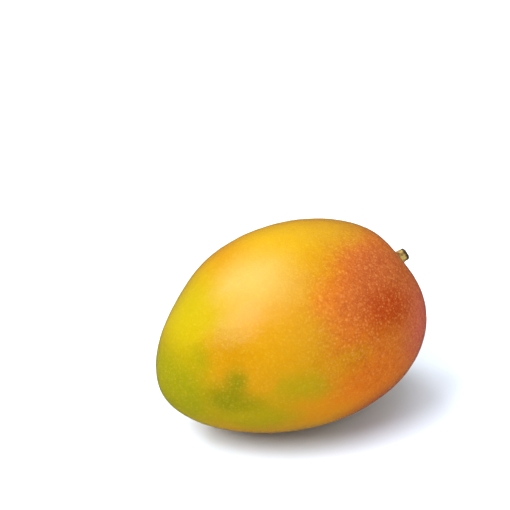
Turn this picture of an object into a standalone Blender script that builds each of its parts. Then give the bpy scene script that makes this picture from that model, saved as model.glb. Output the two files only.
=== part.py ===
"""A whole ripening mango that lies on its flatter cheek, with the short stalk it was picked with.

The fruit's long axis runs along X, with the stalk at +X and the tip at -X. It is one solid. The stalk
is a separate stub whose root sits in a socket in the stalk hollow. Units are metres and +Z is up. The
origin is on the surface the fruit lies on, under the middle of the whole object's box.
"""

import math

import bmesh
import bpy
from mathutils import Matrix, Vector

MM = 0.001

# The fruit, before it is tilted: a rounded body that swells towards the stalk end.
HALF_LENGTH = 57.5 * MM
HALF_WIDTH = 44.5 * MM
HALF_THICKNESS = 0.9 * HALF_WIDTH
SWELL = 0.141
SHOULDER = 0.085
SIDE_BEND = 0.8 * MM
SIDE_SWAY = -2.1 * MM
DOWN_BEND = 3.0 * MM
HUMP = 5.1 * MM
TILT = math.radians(8.3)
CAGE_CUTS = 19

# Soft round dips in the skin: where, how deep and how wide. A place on the fruit is an azimuth and an
# elevation in degrees, seen from its middle before it is tilted.
STALK_HOLLOW = ((-7.0, 15.8), 3.1 * MM, 12.6 * MM)
SINUS_BY_THE_TIP = ((-133.0, 9.5), 0.8 * MM, 9.0 * MM)
FLATTER_FLANK = ((142.7, 33.4), 1.0 * MM, 15.2 * MM)
DIPS = (STALK_HOLLOW, SINUS_BY_THE_TIP, FLATTER_FLANK)

# The flat spot that the fruit has settled on.
FLAT_CUT = 0.5 * MM
TABLE_SIZE = 0.2

# The stalk stub: radii and heights above the floor of its hollow.
STALK_PLACE = (0.0, 14.0)
STALK_YAW = math.radians(-4.0)
STALK_PITCH = math.radians(21.0)
ROOT_RADIUS = 2.0 * MM
ROOT_DEPTH = 4.5 * MM
COLLAR_RADIUS = 3.3 * MM
COLLAR_DEPTH = 0.9 * MM
COLLAR_RISE = 0.5 * MM
NECK_RADIUS = 2.75 * MM
NECK_HEIGHT = 2.2 * MM
END_RADIUS = 2.6 * MM
STALK_HEIGHT = 4.6 * MM
END_CHAMFER = 0.3 * MM
END_DOME = 0.15 * MM
STALK_SIDES = 28
SOCKET_GAP = 0.3 * MM
SOCKET_TOP = 9.0 * MM

MERGE = 0.00001


def clear_the_scene():
    for old in list(bpy.data.objects):
        bpy.data.objects.remove(old, do_unlink=True)


def new_collection(name):
    collection = bpy.data.collections.new(name)
    bpy.context.scene.collection.children.link(collection)
    return collection


def finish(name, colour, roughness, metallic=0.0):
    material = bpy.data.materials.new(name)
    material.use_nodes = True
    shader = material.node_tree.nodes["Principled BSDF"]
    shader.inputs["Base Color"].default_value = (*colour, 1.0)
    shader.inputs["Roughness"].default_value = roughness
    shader.inputs["Metallic"].default_value = metallic
    return material


def direction_of(place):
    azimuth, elevation = (math.radians(angle) for angle in place)
    level = math.cos(elevation)
    return Vector((level * math.cos(azimuth), level * math.sin(azimuth), math.sin(elevation)))


def bare_skin(direction):
    """The point of the fruit without its dips, for a direction of length one from its middle."""
    x, y, z = direction
    wave = x**3 - 0.6 * x
    bow = x**2 - 0.2
    girth = 1.0 + SWELL * x + SHOULDER * wave
    side = HALF_WIDTH * y * girth + SIDE_BEND * bow + SIDE_SWAY * wave
    height = HALF_THICKNESS * z * girth - DOWN_BEND * bow + HUMP * wave
    return Vector((HALF_LENGTH * x, side, height))


def dip(point, place, depth, radius):
    """How far one dip sinks this point of the bare skin, as a vector towards the middle."""
    centre = bare_skin(direction_of(place))
    distance = (point - centre).length
    return -depth * math.exp(-((distance / radius) ** 2)) * centre.normalized()


def skin(direction):
    """The point of the fruit for this direction, tilted about Y to lift the stalk end."""
    bare = bare_skin(direction)
    point = bare + sum((dip(bare, *each) for each in DIPS), Vector())
    return Matrix.Rotation(-TILT, 3, "Y") @ point


def stalk_axis():
    level = math.cos(STALK_PITCH)
    return Vector(
        (level * math.cos(STALK_YAW), level * math.sin(STALK_YAW), math.sin(STALK_PITCH))
    )


def mesh_object(name, form, collection, material=None):
    """Closes the bmesh into a named object with smooth sides and sharp rims."""
    mesh = bpy.data.meshes.new(name)
    form.to_mesh(mesh)
    form.free()
    mesh.shade_smooth()
    mesh.set_sharp_from_angle(angle=math.radians(40.0))
    if material:
        mesh.materials.append(material)
    made = bpy.data.objects.new(name, mesh)
    collection.objects.link(made)
    return made


def fruit(collection):
    """A cube divided into an even grid, drawn out to the fruit's skin."""
    form = bmesh.new()
    bmesh.ops.create_cube(form, size=2.0)
    bmesh.ops.subdivide_edges(form, edges=form.edges[:], cuts=CAGE_CUTS, use_grid_fill=True)
    for vertex in form.verts:
        vertex.co = skin(vertex.co.normalized())
    colour = (0.80, 0.36, 0.03)
    return mesh_object("fruit", form, collection, finish("mango skin", colour, 0.4))


def stalk_profile():
    """Radius and height down the stalk's outer side, from its cut end to the foot of its root."""
    return [
        (0.0, STALK_HEIGHT + END_DOME),
        (END_RADIUS - END_CHAMFER, STALK_HEIGHT),
        (END_RADIUS, STALK_HEIGHT - END_CHAMFER),
        (NECK_RADIUS, NECK_HEIGHT),
        (COLLAR_RADIUS, COLLAR_RISE),
        (COLLAR_RADIUS, 0.0),
        (ROOT_RADIUS, -COLLAR_DEPTH),
        (ROOT_RADIUS, -ROOT_DEPTH),
        (0.0, -ROOT_DEPTH),
    ]


def socket_profile():
    """Radius and height down the socket, which is the stalk's foot grown by the gap all round."""
    wide = COLLAR_RADIUS + SOCKET_GAP
    narrow = ROOT_RADIUS + SOCKET_GAP
    return [
        (0.0, SOCKET_TOP),
        (wide, SOCKET_TOP),
        (wide, -SOCKET_GAP),
        (narrow, -COLLAR_DEPTH - SOCKET_GAP),
        (narrow, -ROOT_DEPTH - SOCKET_GAP),
        (0.0, -ROOT_DEPTH - SOCKET_GAP),
    ]


def turned(name, profile, collection, material=None):
    """The profile screwed round the stalk's axis and stood on the floor of its hollow."""
    mesh = bpy.data.meshes.new(name)
    points = [(radius, 0.0, height) for radius, height in profile]
    mesh.from_pydata(points, [(at, at + 1) for at in range(len(points) - 1)], [])
    if material:
        mesh.materials.append(material)
    made = bpy.data.objects.new(name, mesh)
    collection.objects.link(made)
    screw = made.modifiers.new("turn", "SCREW")
    screw.steps = STALK_SIDES
    screw.render_steps = STALK_SIDES
    screw.use_merge_vertices = True
    screw.merge_threshold = MERGE
    screw.use_smooth_shade = True
    turn = stalk_axis().to_track_quat("Z", "Y").to_matrix().to_4x4()
    made.matrix_world = Matrix.Translation(skin(direction_of(STALK_PLACE))) @ turn
    return made


def stem(collection):
    return turned("stem", stalk_profile(), collection, finish("stalk bark", (0.30, 0.16, 0.06), 0.7))


def socket(collection):
    return turned("socket", socket_profile(), collection)


def table(collection, underside):
    """A block whose top is where the fruit has settled."""
    form = bmesh.new()
    bmesh.ops.create_cube(form, size=TABLE_SIZE)
    made = mesh_object("table", form, collection)
    made.location.z = underside + FLAT_CUT - TABLE_SIZE / 2
    return made


def cut(part, cutter):
    cutter.hide_render = True
    cutter.display_type = "WIRE"
    boolean = part.modifiers.new("cut by " + cutter.name, "BOOLEAN")
    boolean.operation = "DIFFERENCE"
    boolean.solver = "EXACT"
    boolean.object = cutter


def corners_of(thing):
    """The world positions of the corners of the evaluated mesh."""
    bpy.context.view_layer.update()
    evaluated = thing.evaluated_get(bpy.context.evaluated_depsgraph_get())
    mesh = evaluated.to_mesh()
    points = [evaluated.matrix_world @ vertex.co for vertex in mesh.vertices]
    evaluated.to_mesh_clear()
    return points


def stand_on_origin(parts, holder):
    """Parents everything to one empty and moves it, so that the box stands centred on the origin."""
    points = [point for part in parts for point in corners_of(part)]
    low = Vector([min(point[axis] for point in points) for axis in range(3)])
    high = Vector([max(point[axis] for point in points) for axis in range(3)])
    holder.location = (-(low.x + high.x) / 2, -(low.y + high.y) / 2, -low.z)


def main():
    clear_the_scene()
    parts = new_collection("mango")
    cutters = new_collection("cutters")
    holder = bpy.data.objects.new("mango lying", None)
    parts.objects.link(holder)

    body = fruit(parts)
    stub = stem(parts)
    underside = min(point.z for point in corners_of(body))
    tools = [table(cutters, underside), socket(cutters)]
    for tool in tools:
        cut(body, tool)
    for thing in [body, stub, *tools]:
        thing.parent = holder
    stand_on_origin([body, stub], holder)
    cutters.hide_render = True


main()
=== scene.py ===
"""Finish and studio for a whole ripening mango that lies on its cheek, with its cut stalk.

The fruit and the stalk stub are modelled over the solids of the same names and stand for them. The
skin is painted in patches placed by where they are on the fruit. The studio is a white table in a
pale room with five soft lamps. Lengths are metres in the scene and millimetres in the patterns.
"""

import math

import bpy
from bpy.props import FloatProperty, FloatVectorProperty, IntProperty, PointerProperty
from mathutils import Matrix, Vector


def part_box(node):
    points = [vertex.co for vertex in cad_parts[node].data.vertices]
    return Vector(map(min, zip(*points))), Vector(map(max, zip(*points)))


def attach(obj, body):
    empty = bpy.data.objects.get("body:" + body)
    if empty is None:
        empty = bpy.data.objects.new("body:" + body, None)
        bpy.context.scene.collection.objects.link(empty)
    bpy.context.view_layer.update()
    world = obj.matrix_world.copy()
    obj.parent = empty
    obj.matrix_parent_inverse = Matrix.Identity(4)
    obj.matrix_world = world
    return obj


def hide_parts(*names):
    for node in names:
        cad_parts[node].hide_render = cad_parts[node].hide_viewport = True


bl_info = {
    "name": "Ripening Mango",
    "version": (1, 0, 0),
    "blender": (4, 5, 0),
    "location": "3D View > Sidebar > Mango",
    "description": "Skin, stalk and studio for a whole ripening mango",
    "category": "Object",
}

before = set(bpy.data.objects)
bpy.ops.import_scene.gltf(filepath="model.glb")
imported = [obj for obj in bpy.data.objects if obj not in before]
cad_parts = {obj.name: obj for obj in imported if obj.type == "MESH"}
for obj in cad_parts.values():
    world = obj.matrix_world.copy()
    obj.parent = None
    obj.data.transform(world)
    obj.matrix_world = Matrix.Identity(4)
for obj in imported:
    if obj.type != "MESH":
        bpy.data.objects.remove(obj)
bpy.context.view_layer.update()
FRUIT_LOW, FRUIT_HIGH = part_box("fruit")
FRUIT_MIDDLE = (FRUIT_LOW + FRUIT_HIGH) / 2
FRUIT_HALF = (FRUIT_HIGH - FRUIT_LOW) / 2
MM = 0.001

# The skin's gloss, the relief of its fine net, and the reach of its patches' wandering edges as
# scale and reach, from slow to fine.
SKIN_SPECULAR = 0.125
SKIN_RELIEF = 0.22 * MM
SKIN_RELIEF_STRENGTH = 0.5
WANDERS = ((3.0, 0.11), (9.0, 0.05), (36.0, 0.03))

# Where the blush is, which carries the pores and the net: centre, spread and core.
BLUSH = ((0.7, -0.75, 0.4), (1.2, 1.4, 1.2), 0.45)
NET_OFF_BLUSH = 0.22
PORES_OFF_BLUSH = 0.2
PORES_ON_BLUSH = 0.42
PORES_MISSING = 0.1
SMALL_PORES = 0.65

# Grain sizes of the swells and ripples in the skin and of the lumps in the bark.
SWELL_GRAIN = 18.0 * MM
RIPPLE_GRAIN = 4.0 * MM
LUMP_GRAIN = 1.3 * MM
REST_SPOT_FADE = 6.0 * MM

# The bark's gloss and relief, the heights in millimetres over which the cut's colour starts, and
# the radii over which the rim turns into pith.
BARK_ROUGHNESS = 0.75
BARK_SPECULAR = 0.2
BARK_RELIEF = 0.2 * MM
BARK_RELIEF_STRENGTH = 0.7
SCORCH_HEIGHTS = (3.0, 3.9)
PITH_RADII = (2.35, 1.5)

TABLE_WIDTH = 20.0
TABLE_WHITE = (0.76, 0.84, 0.95)
TABLE_ROUGHNESS = 0.9

# The point of the fruit that the camera turns round.
VIEW_MIDDLE = (-0.0003, 0.0, 0.0385)


# ---------------------------------------------------------------- what a user may change


def length(name, description, default):
    return FloatProperty(name=name, description=description, default=default, unit="LENGTH")


def amount(name, description, default, low=0.0, high=1.0):
    return FloatProperty(name=name, description=description, default=default, min=low, max=high)


def angle(name, description, default):
    return FloatProperty(
        name=name, description=description, default=math.radians(default), subtype="ANGLE"
    )


def colour(name, description, default):
    return FloatVectorProperty(
        name=name, description=description, default=default, subtype="COLOR", min=0.0, max=1.0
    )


def lamp(name, description, default):
    """Azimuth, elevation and spread in degrees, and power."""
    return FloatVectorProperty(name=name, description=description, default=default, size=4)


class MangoSkinSettings(bpy.types.PropertyGroup):
    """Form and colours of the fruit."""

    cage: IntProperty(name="Cage", description="Divisions of the cage", default=27, min=4, max=30)
    swell: length("Undulation", "Height of the gentle swells in the skin", 0.5 * MM)
    ripple: length("Ripple", "Height of the fine ripple in the skin", 0.14 * MM)
    gold: colour("Gold", "Ripe skin along the body", (0.455, 0.215, 0.001))
    old_gold: colour("Old gold", "Duller gold above the stain", (0.39, 0.18, 0.0))
    yellow: colour("Yellow", "Golden yellow over the back", (0.49, 0.285, 0.0))
    belly_glow: colour("Belly", "Orange-yellow skin under the body", (0.57, 0.195, 0.001))
    lemon: colour("Lemon", "Lemon skin towards the tip", (0.38, 0.295, 0.001))
    # This pale colour is partly the skin's waxy coating and partly a painted sheen of the lamps on
    # the upper flank.
    bloom_and_painted_sheen: colour("Bloom", "Pale waxy bloom on the upper flank", (0.47, 0.335, 0.06))
    tip_green: colour("Tip green", "Unripe skin round the tip", (0.235, 0.215, 0.0))
    stain_green: colour("Stain green", "Darker green stain beside the tip", (0.17, 0.165, 0.0))
    belt_green: colour("Belt green", "Yellow-green belt along the belly", (0.32, 0.235, 0.0))
    orange: colour("Orange", "Outer blush on the shoulder", (0.52, 0.15, 0.008))
    red: colour("Red", "Inner blush on the shoulder", (0.415, 0.105, 0.02))
    heart: colour("Heart", "Darkest part of the blush", (0.38, 0.05, 0.003))
    cheek: colour("Cheek", "Rosy cheek below the stalk", (0.55, 0.115, 0.068))
    amber: colour("Amber", "Yellower wedge between the belly and the blush", (0.5, 0.215, 0.002))
    ember: colour("Ember", "Deep red along the underside of the cheek", (0.4, 0.055, 0.008))
    peach: colour("Peach", "Peach skin under the cheek", (0.62, 0.16, 0.004))
    seat_green: colour("Seat", "Olive tinge round the stalk", (0.33, 0.2, 0.02))
    cork: colour("Cork", "Corky ring at the stalk", (0.17, 0.085, 0.03))
    pore_pale: colour("Pores", "Pale pores on the blush", (0.62, 0.24, 0.06))
    pore_gold: colour("Gold pores", "Pale pores off the blush", (0.55, 0.38, 0.03))
    net_deep: colour("Net", "Tint in the dark of the fine net", (0.66, 0.38, 0.34))
    net_pale: colour("Net pale", "Tint in the light of the fine net", (1.0, 1.0, 1.0))
    pore_spacing: FloatProperty(name="Pore spacing", description="Millimetres", default=1.35)
    pore_size: FloatProperty(name="Pore size", description="Part of the spacing", default=0.5)
    wax: amount("Roughness", "Roughness of the waxy skin", 0.18)


class MangoStalkSettings(bpy.types.PropertyGroup):
    """Form and colours of the stalk stub."""

    ribs: IntProperty(name="Ribs", description="Ribs down the bark", default=14, min=6, max=24)
    rib_depth: amount("Rib depth", "How far the furrows sink, as part of the radius", 0.05)
    roughness: length("Roughness", "Height of the bark's lumps", 0.35 * MM)
    bark: colour("Bark", "Tan bark", (0.55, 0.42, 0.11))
    brown: colour("Brown", "Red-brown blotches on the bark", (0.2, 0.075, 0.02))
    # This dark colour is painted shade: it darkens the bark's fine grooves, where the bump is
    # lowest.
    furrow_shade: colour("Shade", "Brown in the furrows", (0.07, 0.03, 0.008))
    scorch: colour("Rim", "Dried rim of the cut", (0.035, 0.022, 0.01))
    pith: colour("Pith", "Paler middle of the cut", (0.17, 0.11, 0.045))


class MangoStudioSettings(bpy.types.PropertyGroup):
    """Camera, table and lamps."""

    azimuth: angle("Azimuth", "Camera's turn round the fruit", -30.0)
    elevation: angle("Elevation", "Camera's height above the level", 30.0)
    distance: length("Distance", "Camera to the fruit's middle", 0.5715)
    lens: FloatProperty(name="Lens", description="Focal length, mm", default=100.0)
    pan: angle("Pan", "How far right of the view's middle the fruit lies", 1.37)
    drop: angle("Drop", "How far below the view's middle the fruit lies", 2.95)
    key: lamp("Key", "The big soft lamp", (-83.0, 45.0, 36.0, 2.95))
    side: lamp("Side", "The lower of two small lamps behind", (-146.0, 46.0, 14.0, 0.7))
    top: lamp("Top", "The soft lamp overhead", (-62.0, 76.0, 47.0, 1.5))
    back: lamp("Back", "The upper of two small lamps behind", (-166.0, 63.0, 16.0, 0.55))
    fill: lamp("Fill", "The weak lamp that opens the shadows", (5.0, 30.0, 60.0, 0.6))
    ceiling: amount("Ceiling", "Brightness overhead", 0.6, high=5.0)
    walls: amount("Walls", "Brightness at the level of the table", 0.12, high=5.0)


# ---------------------------------------------------------------- small helpers


def deselect():
    bpy.ops.object.select_all(action="DESELECT")


def only(thing):
    deselect()
    thing.select_set(True)
    bpy.context.view_layer.objects.active = thing


def apply_all(thing):
    only(thing)
    for modifier in list(thing.modifiers):
        bpy.ops.object.modifier_apply(modifier=modifier.name)


def select_where(thing, test):
    """In edit mode, selects the corners whose position passes the test."""
    bpy.ops.mesh.select_mode(type="VERT")
    bpy.ops.mesh.select_all(action="DESELECT")
    bpy.ops.object.mode_set(mode="OBJECT")
    for corner in thing.data.vertices:
        corner.select = bool(test(corner.co))
    bpy.ops.object.mode_set(mode="EDIT")


def smooth_step(value):
    value = min(max(value, 0.0), 1.0)
    return value * value * (3.0 - 2.0 * value)


def add_weights(thing, name, weight_at):
    """A vertex group whose weight is worked out from each corner's position."""
    group = thing.vertex_groups.new(name=name)
    for corner in thing.data.vertices:
        group.add([corner.index], weight_at(corner.co), "REPLACE")
    return group


def compass(azimuth, elevation):
    """The direction from the middle to a place at this azimuth and elevation. Azimuth 0 is -Y."""
    level = math.cos(elevation)
    return Vector((level * math.sin(azimuth), -level * math.cos(azimuth), math.sin(elevation)))


# ---------------------------------------------------------------- small helpers for materials


def new_node(tree, kind, **settings):
    made = tree.nodes.new(kind)
    for name, value in settings.items():
        setattr(made, name, value)
    return made


def feed(tree, socket, value):
    """Links the socket if it is given a socket, and sets it if it is given a value."""
    if isinstance(value, bpy.types.NodeSocket):
        tree.links.new(value, socket)
    else:
        socket.default_value = value


def colour4(value):
    return value if isinstance(value, bpy.types.NodeSocket) else (*value[:3], 1.0)


def maths(tree, operation, *values, clamp=False):
    made = new_node(tree, "ShaderNodeMath", operation=operation, use_clamp=clamp)
    for socket, value in zip(made.inputs, values):
        feed(tree, socket, value)
    return made.outputs[0]


def vector_maths(tree, operation, *values, scale=None):
    made = new_node(tree, "ShaderNodeVectorMath", operation=operation)
    for socket, value in zip(made.inputs, values):
        feed(tree, socket, value)
    if scale is not None:
        feed(tree, made.inputs["Scale"], scale)
    return made.outputs["Value" if operation in ("LENGTH", "DOT_PRODUCT") else "Vector"]


def mixed(tree, factor, first, second, blend="MIX"):
    made = new_node(tree, "ShaderNodeMix", data_type="RGBA", blend_type=blend)
    feed(tree, made.inputs[0], factor)
    feed(tree, made.inputs[6], colour4(first))
    feed(tree, made.inputs[7], colour4(second))
    return made.outputs[2]


def remapped(tree, value, low, high, to_low=0.0, to_high=1.0, smooth=True):
    made = new_node(tree, "ShaderNodeMapRange")
    made.interpolation_type = "SMOOTHSTEP" if smooth else "LINEAR"
    for name, given in (
        ("Value", value),
        ("From Min", low),
        ("From Max", high),
        ("To Min", to_low),
        ("To Max", to_high),
    ):
        feed(tree, made.inputs[name], given)
    return made.outputs["Result"]


def noise(tree, position, scale, detail=2.0, roughness=0.5, distortion=0.0):
    made = new_node(tree, "ShaderNodeTexNoise")
    feed(tree, made.inputs["Vector"], position)
    feed(tree, made.inputs["Scale"], scale)
    feed(tree, made.inputs["Detail"], detail)
    feed(tree, made.inputs["Roughness"], roughness)
    feed(tree, made.inputs["Distortion"], distortion)
    return made


SOCKETS = {"vector": "NodeSocketVector", "value": "NodeSocketFloat", "colour": "NodeSocketColor"}


def new_group(name, takes, gives):
    """An empty shader group. takes and gives hold (name, kind, default) of its sockets."""
    group = bpy.data.node_groups.new(name, "ShaderNodeTree")
    for socket_name, kind, default in takes:
        socket = group.interface.new_socket(
            name=socket_name, in_out="INPUT", socket_type=SOCKETS[kind]
        )
        socket.default_value = default
    for socket_name, kind in gives:
        group.interface.new_socket(name=socket_name, in_out="OUTPUT", socket_type=SOCKETS[kind])
    start = new_node(group, "NodeGroupInput")
    end = new_node(group, "NodeGroupOutput")
    return group, start.outputs, end.inputs


def use_group(tree, name, **values):
    """Places a group, with spaces in its input names written as underscores."""
    made = new_node(tree, "ShaderNodeGroup", node_tree=bpy.data.node_groups[name])
    for key, value in values.items():
        feed(tree, made.inputs[key.replace("_", " ")], value)
    return made.outputs


def soft_patch_group():
    """A soft-edged stain: 1 at its centre, fading to 0 over its edge."""
    takes = [
        ("Position", "vector", (0.0, 0.0, 0.0)),
        ("Centre", "vector", (0.0, 0.0, 0.0)),
        ("Spread", "vector", (1.0, 1.0, 1.0)),
        ("Core", "value", 0.2),
    ]
    group, given, out = new_group("Soft Patch", takes, [("Mask", "value")])
    place = new_node(group, "ShaderNodeMapping", vector_type="TEXTURE")
    feed(group, place.inputs["Vector"], given["Position"])
    feed(group, place.inputs["Location"], given["Centre"])
    feed(group, place.inputs["Scale"], given["Spread"])
    reach = vector_maths(group, "LENGTH", place.outputs[0])
    feed(group, out["Mask"], remapped(group, reach, 1.0, given["Core"]))


def wander_group():
    """A position pushed about by slow noise, so that a pattern's edges wander."""
    takes = [
        ("Position", "vector", (0.0, 0.0, 0.0)),
        ("Scale", "value", 1.0),
        ("Reach", "value", 0.1),
    ]
    group, given, out = new_group("Wander", takes, [("Position", "vector")])
    drift = noise(group, given["Position"], given["Scale"], detail=3.0, roughness=0.55)
    centred = vector_maths(group, "SUBTRACT", drift.outputs["Color"], (0.5, 0.5, 0.5))
    push = vector_maths(group, "SCALE", centred, scale=given["Reach"])
    feed(group, out["Position"], vector_maths(group, "ADD", given["Position"], push))


def pores_group():
    """Round pores scattered over the skin, each with its own size and strength."""
    takes = [
        ("Position", "vector", (0.0, 0.0, 0.0)),
        ("Spacing", "value", 2.0),
        ("Size", "value", 0.25),
        ("Missing", "value", 0.3),
    ]
    group, given, out = new_group("Pores", takes, [("Dots", "value")])
    cells = new_node(group, "ShaderNodeTexVoronoi", feature="F1")
    feed(group, cells.inputs["Vector"], given["Position"])
    feed(group, cells.inputs["Scale"], maths(group, "DIVIDE", 1.0, given["Spacing"]))
    chance = new_node(group, "ShaderNodeSeparateColor")
    feed(group, chance.inputs[0], cells.outputs["Color"])
    scatter = remapped(group, chance.outputs[1], 0.0, 1.0, 0.6, 1.4)
    size = maths(group, "MULTIPLY", given["Size"], scatter)
    dot = remapped(group, cells.outputs["Distance"], size, maths(group, "MULTIPLY", size, 0.1))
    strength = remapped(group, chance.outputs[0], given["Missing"], 1.0, 0.4, 1.0)
    feed(group, out["Dots"], maths(group, "MULTIPLY", dot, strength))


def mottle_group():
    """Fine uneven colour, from 0 to 1 round a middle of 0.5."""
    takes = [
        ("Position", "vector", (0.0, 0.0, 0.0)),
        ("Grain", "value", 1.0),
        ("Contrast", "value", 1.0),
    ]
    group, given, out = new_group("Mottle", takes, [("Value", "value")])
    scale = maths(group, "DIVIDE", 1.0, given["Grain"])
    spots = noise(group, given["Position"], scale, detail=4.0, roughness=0.6, distortion=0.6)
    centred = maths(group, "SUBTRACT", spots.outputs[0], 0.5)
    spread = maths(group, "MULTIPLY", centred, given["Contrast"])
    feed(group, out["Value"], maths(group, "ADD", spread, 0.5, clamp=True))


def blank_material(name):
    material = bpy.data.materials.new(name)
    material.use_nodes = True
    tree = material.node_tree
    tree.nodes.clear()
    shader = new_node(tree, "ShaderNodeBsdfPrincipled")
    output = new_node(tree, "ShaderNodeOutputMaterial")
    tree.links.new(shader.outputs[0], output.inputs["Surface"])
    return material, tree, shader


def add_relief(tree, shader, height, distance, strength):
    """Fine relief too small to model, as a bump on the shader's normal."""
    bump = new_node(tree, "ShaderNodeBump")
    bump.inputs["Strength"].default_value = strength
    bump.inputs["Distance"].default_value = distance
    feed(tree, bump.inputs["Height"], height)
    feed(tree, shader.inputs["Normal"], bump.outputs[0])


def millimetres(tree):
    """The object position in millimetres."""
    position = new_node(tree, "ShaderNodeTexCoord").outputs["Object"]
    return vector_maths(tree, "SCALE", position, scale=1.0 / MM)


def place_on_fruit(tree):
    """The object position as parts of the fruit's half size, from -1 to 1 along each axis."""
    place = new_node(tree, "ShaderNodeMapping", vector_type="TEXTURE")
    feed(tree, place.inputs["Vector"], new_node(tree, "ShaderNodeTexCoord").outputs["Object"])
    feed(tree, place.inputs["Location"], FRUIT_MIDDLE)
    feed(tree, place.inputs["Scale"], FRUIT_HALF)
    return place.outputs[0]


# ---------------------------------------------------------------- where the stalk is


# Rings of the stub from its foot in the hollow to the sunken pith: height and radius in
# millimetres, measured from the collar's shoulder.
STALK_RINGS = (
    (-0.6, 2.6),
    (0.0, 3.25),
    (0.6, 3.3),
    (1.1, 2.95),
    (2.2, 2.7),
    (3.6, 2.62),
    (4.4, 2.62),
    (4.65, 2.5),
    (4.6, 2.2),
    (4.35, 1.7),
    (4.25, 0.8),
)
STALK_YAW = math.radians(-4.0)
STALK_PITCH = math.radians(21.0)
STALK_CUT = 4.75


def stalk_axis():
    level = math.cos(STALK_PITCH)
    return Vector((level * math.cos(STALK_YAW), level * math.sin(STALK_YAW), math.sin(STALK_PITCH)))


def stalk_foot():
    """The point of the stalk's axis where its collar meets the hollow."""
    corners = [corner.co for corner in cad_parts["stem"].data.vertices]
    middle = sum(corners, Vector()) / len(corners)
    cut = max((corner - middle).dot(stalk_axis()) for corner in corners)
    return middle + stalk_axis() * (cut - STALK_CUT * MM)


# ---------------------------------------------------------------- the skin


def skin_stains(look):
    """Stains on the skin, with one pale patch that is partly painted sheen: colour, centre, spread,
    core and strength.

    Centres and spreads are parts of the fruit's half size. Later stains lie over earlier ones.
    """
    return (
        (look.belly_glow, (0.05, -0.95, -0.35), (0.6, 0.7, 0.5), 0.15, 0.95),
        (look.orange, (0.85, 0.85, 0.35), (0.85, 0.9, 0.8), 0.1, 0.75),
        (look.yellow, (-0.1, 0.1, 1.05), (0.55, 0.8, 0.4), 0.2, 0.95),
        (look.yellow, (-0.35, 1.0, 0.2), (0.7, 0.5, 0.7), 0.1, 0.8),
        (look.lemon, (-1.05, 0.15, 0.5), (0.75, 1.1, 0.75), 0.35, 1.0),
        # Pale patch on the upper flank: partly the skin's waxy coating, partly painted sheen of the
        # lamps.
        (look.bloom_and_painted_sheen, (-0.42, -0.26, 0.83), (0.48, 0.53, 0.4), 0.1, 0.75),
        (look.belt_green, (-0.64, -0.76, -0.4), (0.45, 0.5, 0.34), 0.3, 1.0),
        (look.belt_green, (-0.34, -0.93, -0.04), (0.46, 0.38, 0.27), 0.05, 0.8),
        (look.belt_green, (-0.45, 0.85, -0.5), (0.5, 0.6, 0.5), 0.1, 0.8),
        (look.tip_green, (-1.08, -0.1, -0.3), (0.5, 1.05, 0.75), 0.4, 1.0),
        (look.tip_green, (-0.85, -0.36, 0.18), (0.17, 0.22, 0.22), 0.1, 0.8),
        (look.lemon, (-0.9, -0.25, -0.75), (0.4, 0.5, 0.4), 0.1, 0.8),
        (look.old_gold, (-0.72, -0.5, 0.3), (0.28, 0.32, 0.34), 0.05, 0.85),
        (look.stain_green, (-0.7, -0.65, 0.0), (0.14, 0.17, 0.23), 0.1, 0.85),
        (look.stain_green, (-0.76, -0.58, -0.18), (0.2, 0.25, 0.24), 0.1, 0.85),
        (look.stain_green, (-0.66, -0.7, -0.19), (0.25, 0.24, 0.19), 0.1, 0.6),
        (look.gold, (-0.55, -0.79, 0.06), (0.11, 0.15, 0.19), 0.5, 0.95),
        (look.orange, (0.8, -0.85, 0.32), (1.04, 1.2, 1.15), 0.72, 1.0),
        (look.orange, (0.0, -0.74, 0.66), (0.26, 0.34, 0.3), 0.2, 0.7),
        (look.yellow, (0.34, -0.1, 1.02), (0.42, 0.42, 0.28), 0.0, 0.7),
        (look.red, (0.18, -0.77, 0.6), (0.3, 0.32, 0.36), 0.0, 0.55),
        (look.amber, (0.03, -0.99, 0.1), (0.27, 0.33, 0.26), 0.4, 1.0),
        (look.red, (0.5, -0.62, 0.68), (0.5, 0.55, 0.52), 0.35, 0.95),
        (look.peach, (0.25, -1.0, -0.15), (0.5, 0.5, 0.42), 0.3, 0.95),
        (look.cheek, (0.92, -0.75, 0.1), (0.6, 0.6, 0.7), 0.25, 0.95),
        (look.ember, (0.45, -0.75, -0.62), (0.6, 0.45, 0.42), 0.2, 0.85),
        (look.heart, (0.4, -0.8, 0.46), (0.36, 0.32, 0.34), 0.1, 0.9),
    )


def soft_patch(tree, place, centre, spread, core):
    patch = use_group(
        tree, "Soft Patch", Position=place, Centre=centre, Spread=spread, Core=core
    )
    return patch["Mask"]


def skin_colour(tree, look, place):
    """The stains, and the painted sheen among them, laid over the gold skin, one after another."""
    skin = look.gold
    for tint, centre, spread, core, strength in skin_stains(look):
        mask = soft_patch(tree, place, centre, spread, core)
        skin = mixed(tree, maths(tree, "MULTIPLY", mask, strength), skin, tint)
    return skin


def corky_seat(tree, here, skin, look):
    """The skin with a thin corky ring where the stalk comes out of it."""
    from_stalk = vector_maths(tree, "SUBTRACT", here, tuple(stalk_foot() / MM))
    ragged = use_group(tree, "Wander", Position=from_stalk, Scale=0.5, Reach=1.6)[0]
    reach = vector_maths(tree, "LENGTH", ragged)
    skin = mixed(tree, remapped(tree, reach, 8.0, 3.5, 0.0, 0.5), skin, look.seat_green)
    return mixed(tree, remapped(tree, reach, 4.7, 3.9, 0.0, 0.9), skin, look.cork)


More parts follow.
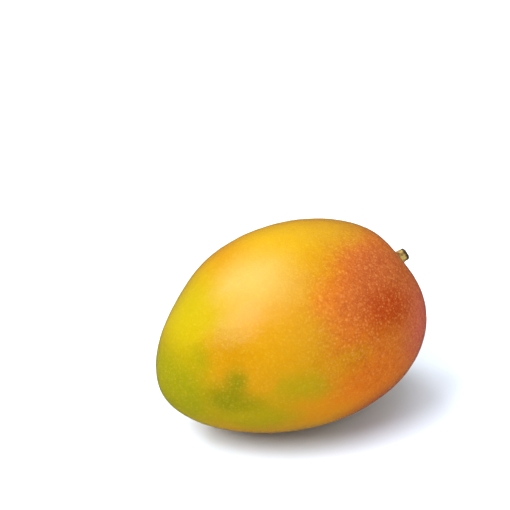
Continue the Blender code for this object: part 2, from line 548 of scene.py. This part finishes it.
def skin_material(look):
    material, tree, shader = blank_material("mango_skin")
    here = millimetres(tree)
    place = place_on_fruit(tree)
    for scale, reach in WANDERS:
        place = use_group(tree, "Wander", Position=place, Scale=scale, Reach=reach)[0]
    skin = skin_colour(tree, look, place)
    blush = soft_patch(tree, place, *BLUSH)
    coarse = use_group(tree, "Mottle", Position=here, Grain=2.4, Contrast=1.8)[0]
    fine = use_group(tree, "Mottle", Position=here, Grain=0.8, Contrast=2.6)[0]
    net = maths(tree, "MULTIPLY_ADD", fine, 0.45, maths(tree, "MULTIPLY", coarse, 0.55))
    depth = remapped(tree, blush, 0.0, 1.0, NET_OFF_BLUSH, 1.0)
    shift = mixed(tree, net, look.net_deep, look.net_pale)
    skin = mixed(tree, depth, skin, mixed(tree, 1.0, skin, shift, "MULTIPLY"))
    strength = remapped(tree, blush, 0.0, 1.0, PORES_OFF_BLUSH, PORES_ON_BLUSH)
    tint = mixed(tree, blush, look.pore_gold, look.pore_pale)
    for part in (1.0, SMALL_PORES):
        pores = use_group(
            tree,
            "Pores",
            Position=here,
            Spacing=part * look.pore_spacing,
            Size=look.pore_size,
            Missing=PORES_MISSING,
        )["Dots"]
        skin = mixed(tree, maths(tree, "MULTIPLY", pores, strength), skin, tint)
    skin = corky_seat(tree, here, skin, look)
    feed(tree, shader.inputs["Base Color"], skin)
    shader.inputs["Roughness"].default_value = look.wax
    shader.inputs["Specular IOR Level"].default_value = SKIN_SPECULAR
    add_relief(tree, shader, net, SKIN_RELIEF, SKIN_RELIEF_STRENGTH)
    return material


def grey(tree, value):
    made = new_node(tree, "ShaderNodeCombineColor")
    for socket in made.inputs:
        feed(tree, socket, value)
    return made.outputs[0]


# ---------------------------------------------------------------- the fruit


def sealed_copy(node):
    """A copy of the CAD fruit with its stalk socket closed over, to be wrapped."""
    only(node)
    bpy.ops.object.duplicate()
    copy = bpy.context.active_object
    copy.parent = None
    only(copy)
    foot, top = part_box("stem")
    seat = (foot + top) / 2
    reach = (top - foot).length * 0.62
    bpy.ops.object.mode_set(mode="EDIT")
    bpy.ops.mesh.select_all(action="SELECT")
    bpy.ops.mesh.remove_doubles(threshold=0.00001)
    select_where(copy, lambda at: (at - seat).length < reach)
    bpy.ops.mesh.delete(type="VERT")
    bpy.ops.mesh.select_all(action="DESELECT")
    bpy.ops.mesh.select_non_manifold()
    bpy.ops.mesh.fill()
    bpy.ops.mesh.vertices_smooth(factor=0.5, repeat=2)
    bpy.ops.object.mode_set(mode="OBJECT")
    return copy


def fruit_cage(divisions):
    """A rounded cube with an even grid, about the fruit's size."""
    deselect()
    bpy.ops.mesh.primitive_cube_add(size=2.0)
    cage = bpy.context.active_object
    bpy.ops.object.mode_set(mode="EDIT")
    bpy.ops.mesh.select_all(action="SELECT")
    bpy.ops.mesh.subdivide(number_cuts=divisions - 1)
    bpy.ops.transform.tosphere(value=1.0)
    radius = cage.dimensions.x / 2
    bpy.ops.transform.resize(value=FRUIT_HALF * (1.02 / radius))
    bpy.ops.transform.translate(value=FRUIT_MIDDLE)
    bpy.ops.object.mode_set(mode="OBJECT")
    return cage


def swell(thing, name, grain, height, group=""):
    """Clouds of this grain and height that push the surface in and out."""
    texture = bpy.data.textures.new(name, "CLOUDS")
    texture.noise_scale = grain
    texture.noise_depth = 1
    made = thing.modifiers.new(name, "DISPLACE")
    made.texture = texture
    made.strength = height
    made.mid_level = 0.5
    made.vertex_group = group


class MANGO_OT_fruit(bpy.types.Operator):
    """Model the fruit's skin over the solid and paint it"""

    bl_idname = "mango.fruit"
    bl_label = "Fruit"

    def execute(self, context):
        look = context.scene.mango_skin
        target = sealed_copy(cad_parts["fruit"])
        fruit = fruit_cage(look.cage)
        fruit.name = "mango_fruit"
        wrap = fruit.modifiers.new("wrap", "SHRINKWRAP")
        wrap.target = target
        wrap.wrap_method = "NEAREST_SURFACEPOINT"
        relax = fruit.modifiers.new("relax", "SMOOTH")
        relax.factor = 0.5
        relax.iterations = 2
        apply_all(fruit)
        again = fruit.modifiers.new("wrap", "SHRINKWRAP")
        again.target = target
        again.wrap_method = "NEAREST_SURFACEPOINT"
        finer = fruit.modifiers.new("finer", "SUBSURF")
        finer.levels = 2
        finer.render_levels = 2
        apply_all(fruit)
        bpy.data.objects.remove(target)
        low = FRUIT_LOW.z
        group = add_weights(
            fruit, "above the rest spot", lambda at: smooth_step((at.z - low) / REST_SPOT_FADE)
        )
        swell(fruit, "swells", SWELL_GRAIN, look.swell, group.name)
        swell(fruit, "ripples", RIPPLE_GRAIN, look.ripple, group.name)
        apply_all(fruit)
        fruit.vertex_groups.clear()
        bpy.ops.object.shade_smooth()
        fruit.data.materials.clear()
        fruit.data.materials.append(skin_material(look))
        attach(fruit, "root")
        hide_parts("fruit")
        return {"FINISHED"}


# ---------------------------------------------------------------- the stalk


def stalk_material(look):
    material, tree, shader = blank_material("stalk_bark")
    here = vector_maths(tree, "SUBTRACT", millimetres(tree), tuple(stalk_foot() / MM))
    height = vector_maths(tree, "DOT_PRODUCT", here, tuple(stalk_axis()))
    along = vector_maths(tree, "SCALE", tuple(stalk_axis()), scale=height)
    across = vector_maths(tree, "LENGTH", vector_maths(tree, "SUBTRACT", here, along))
    most_of_it = vector_maths(tree, "SCALE", along, scale=0.75)
    grain_place = vector_maths(tree, "SUBTRACT", here, most_of_it)
    grain = use_group(tree, "Mottle", Position=grain_place, Grain=0.8, Contrast=3.4)["Value"]
    blotch = use_group(tree, "Mottle", Position=here, Grain=2.6, Contrast=5.5)["Value"]
    bark = mixed(tree, blotch, look.brown, look.bark)
    # Painted shade: the bark darkens where the grain, and so the bump, is lowest.
    bark = mixed(tree, maths(tree, "MULTIPLY_ADD", grain, -0.6, 0.6), bark, look.furrow_shade)
    cut_face = mixed(tree, remapped(tree, across, *PITH_RADII), look.scorch, look.pith)
    cut_face = mixed(tree, 0.6, cut_face, mixed(tree, 1.0, cut_face, grey(tree, grain), "OVERLAY"))
    bark = mixed(tree, remapped(tree, height, *SCORCH_HEIGHTS), bark, cut_face)
    feed(tree, shader.inputs["Base Color"], bark)
    shader.inputs["Roughness"].default_value = BARK_ROUGHNESS
    shader.inputs["Specular IOR Level"].default_value = BARK_SPECULAR
    add_relief(tree, shader, grain, BARK_RELIEF, BARK_RELIEF_STRENGTH)
    return material


def stub_form(look):
    """A circle drawn up ring by ring into a ribbed stub with a sunken cut, at the origin."""
    (foot, radius), *rings = STALK_RINGS
    deselect()
    bpy.ops.mesh.primitive_circle_add(
        vertices=4 * look.ribs, radius=radius * MM, fill_type="NGON", location=(0.0, 0.0, foot * MM)
    )
    stub = bpy.context.active_object
    bpy.ops.object.transform_apply(location=True)
    bpy.ops.object.mode_set(mode="EDIT")
    bpy.ops.mesh.select_all(action="SELECT")
    for height, wide in rings:
        bpy.ops.mesh.extrude_region_move(
            TRANSFORM_OT_translate={"value": (0.0, 0.0, (height - foot) * MM)}
        )
        bpy.ops.transform.resize(value=(wide / radius, wide / radius, 1.0))
        foot, radius = height, wide
    bpy.ops.mesh.select_all(action="SELECT")
    bpy.ops.mesh.normals_make_consistent(inside=False)
    select_where(stub, in_a_furrow(look.ribs))
    narrow = 1.0 - look.rib_depth
    bpy.ops.transform.resize(value=(narrow, narrow, 1.0))
    bpy.ops.object.mode_set(mode="OBJECT")
    return stub


def in_a_furrow(ribs):
    """A test for corners of the bark that lie between two ribs."""

    def test(at):
        turn = math.atan2(at.y, at.x) / math.tau * ribs
        off_rib = abs(turn - round(turn))
        return off_rib > 0.4 and at.length > 2.4 * MM and at.z < 4.5 * MM

    return test


class MANGO_OT_stalk(bpy.types.Operator):
    """Model the stalk stub that the fruit was picked with"""

    bl_idname = "mango.stalk"
    bl_label = "Stalk"

    def execute(self, context):
        look = context.scene.mango_stalk
        stub = stub_form(look)
        stub.name = "mango_stalk"
        turn = stalk_axis().to_track_quat("Z", "Y").to_matrix().to_4x4()
        stub.matrix_world = Matrix.Translation(stalk_foot()) @ turn
        only(stub)
        bpy.ops.object.transform_apply(location=True, rotation=True, scale=True)
        finer = stub.modifiers.new("finer", "SUBSURF")
        finer.levels = 2
        finer.render_levels = 2
        swell(stub, "lumps", LUMP_GRAIN, look.roughness)
        apply_all(stub)
        bpy.ops.object.shade_smooth()
        stub.data.materials.clear()
        stub.data.materials.append(stalk_material(look))
        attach(stub, "root")
        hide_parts("stem")
        return {"FINISHED"}


# ---------------------------------------------------------------- the studio


def table_material():
    material, tree, shader = blank_material("table_white")
    shader.inputs["Base Color"].default_value = (*TABLE_WHITE, 1.0)
    shader.inputs["Roughness"].default_value = TABLE_ROUGHNESS
    shader.inputs["Specular IOR Level"].default_value = 0.0
    return material


def aim_camera(look):
    """Sets the camera round the fruit's middle, then pans it off the middle without rolling it."""
    bpy.ops.object.camera_add()
    camera = bpy.context.active_object
    camera.data.lens = look.lens
    back = compass(look.azimuth, look.elevation)
    right = Vector((math.cos(look.azimuth), math.sin(look.azimuth), 0.0))
    up = back.cross(right)
    level = Matrix((right, up, back)).transposed()
    seen = Vector((math.tan(look.pan), -math.tan(look.drop), -1.0))
    ahead = Vector((0.0, 0.0, -1.0))
    turn = level @ seen.rotation_difference(ahead).to_matrix()
    stand = Vector(VIEW_MIDDLE) + back * look.distance
    camera.matrix_world = Matrix.Translation(stand) @ turn.to_4x4()
    bpy.context.scene.camera = camera
    return camera


def soft_lamp(name, settings):
    """A far lamp that fills a wide angle, so that its shadow is soft."""
    azimuth, elevation, spread, power = settings
    bpy.ops.object.light_add(type="SUN")
    lamp = bpy.context.active_object
    lamp.name = name
    lamp.data.energy = power
    lamp.data.angle = math.radians(spread)
    towards = compass(math.radians(azimuth), math.radians(elevation))
    lamp.rotation_euler = towards.to_track_quat("Z", "Y").to_euler()


def room(ceiling, walls):
    """A white room that is brighter overhead than at the walls."""
    world = bpy.data.worlds.new("room")
    world.use_nodes = True
    tree = world.node_tree
    axes = new_node(tree, "ShaderNodeSeparateXYZ")
    feed(tree, axes.inputs[0], new_node(tree, "ShaderNodeTexCoord").outputs["Generated"])
    light = remapped(tree, axes.outputs["Z"], 0.0, 0.75, walls, ceiling)
    feed(tree, tree.nodes["Background"].inputs["Strength"], light)
    tree.nodes["Background"].inputs["Color"].default_value = (1.0, 1.0, 1.0, 1.0)
    return world


class MANGO_OT_studio(bpy.types.Operator):
    """Set the table, the lamps and the camera"""

    bl_idname = "mango.studio"
    bl_label = "Studio"

    def execute(self, context):
        look = context.scene.mango_studio
        deselect()
        bpy.ops.mesh.primitive_plane_add(size=TABLE_WIDTH)
        table = context.active_object
        table.name = "table_top"
        table.data.materials.append(table_material())
        table.visible_glossy = False
        aim_camera(look)
        soft_lamp("key_lamp", look.key)
        soft_lamp("side_lamp", look.side)
        soft_lamp("back_lamp", look.back)
        soft_lamp("top_lamp", look.top)
        soft_lamp("fill_lamp", look.fill)
        context.scene.world = room(look.ceiling, look.walls)
        context.scene.view_settings.view_transform = "Standard"
        return {"FINISHED"}


# ---------------------------------------------------------------- panel and run


class VIEW3D_PT_mango(bpy.types.Panel):
    """The mango's pieces and their settings"""

    bl_label = "Mango"
    bl_space_type = "VIEW_3D"
    bl_region_type = "UI"
    bl_category = "Mango"

    def draw(self, context):
        for operator, settings in PARTS:
            self.layout.operator(operator.bl_idname)
            group = getattr(context.scene, settings)
            for name in group.bl_rna.properties.keys():
                if name not in ("rna_type", "name"):
                    self.layout.prop(group, name)


PARTS = (
    (MANGO_OT_fruit, "mango_skin"),
    (MANGO_OT_stalk, "mango_stalk"),
    (MANGO_OT_studio, "mango_studio"),
)
SETTINGS = {
    "mango_skin": MangoSkinSettings,
    "mango_stalk": MangoStalkSettings,
    "mango_studio": MangoStudioSettings,
}
CLASSES = (*SETTINGS.values(), *(operator for operator, _ in PARTS), VIEW3D_PT_mango)


def register():
    for each in CLASSES:
        bpy.utils.register_class(each)
    for name, group in SETTINGS.items():
        setattr(bpy.types.Scene, name, PointerProperty(type=group))


def unregister():
    for name in SETTINGS:
        delattr(bpy.types.Scene, name)
    for each in reversed(CLASSES):
        bpy.utils.unregister_class(each)


def main():
    register()
    for make_group in (soft_patch_group, wander_group, pores_group, mottle_group):
        make_group()
    bpy.ops.mango.fruit()
    bpy.ops.mango.stalk()
    bpy.ops.mango.studio()


if __name__ == "__main__":
    main()
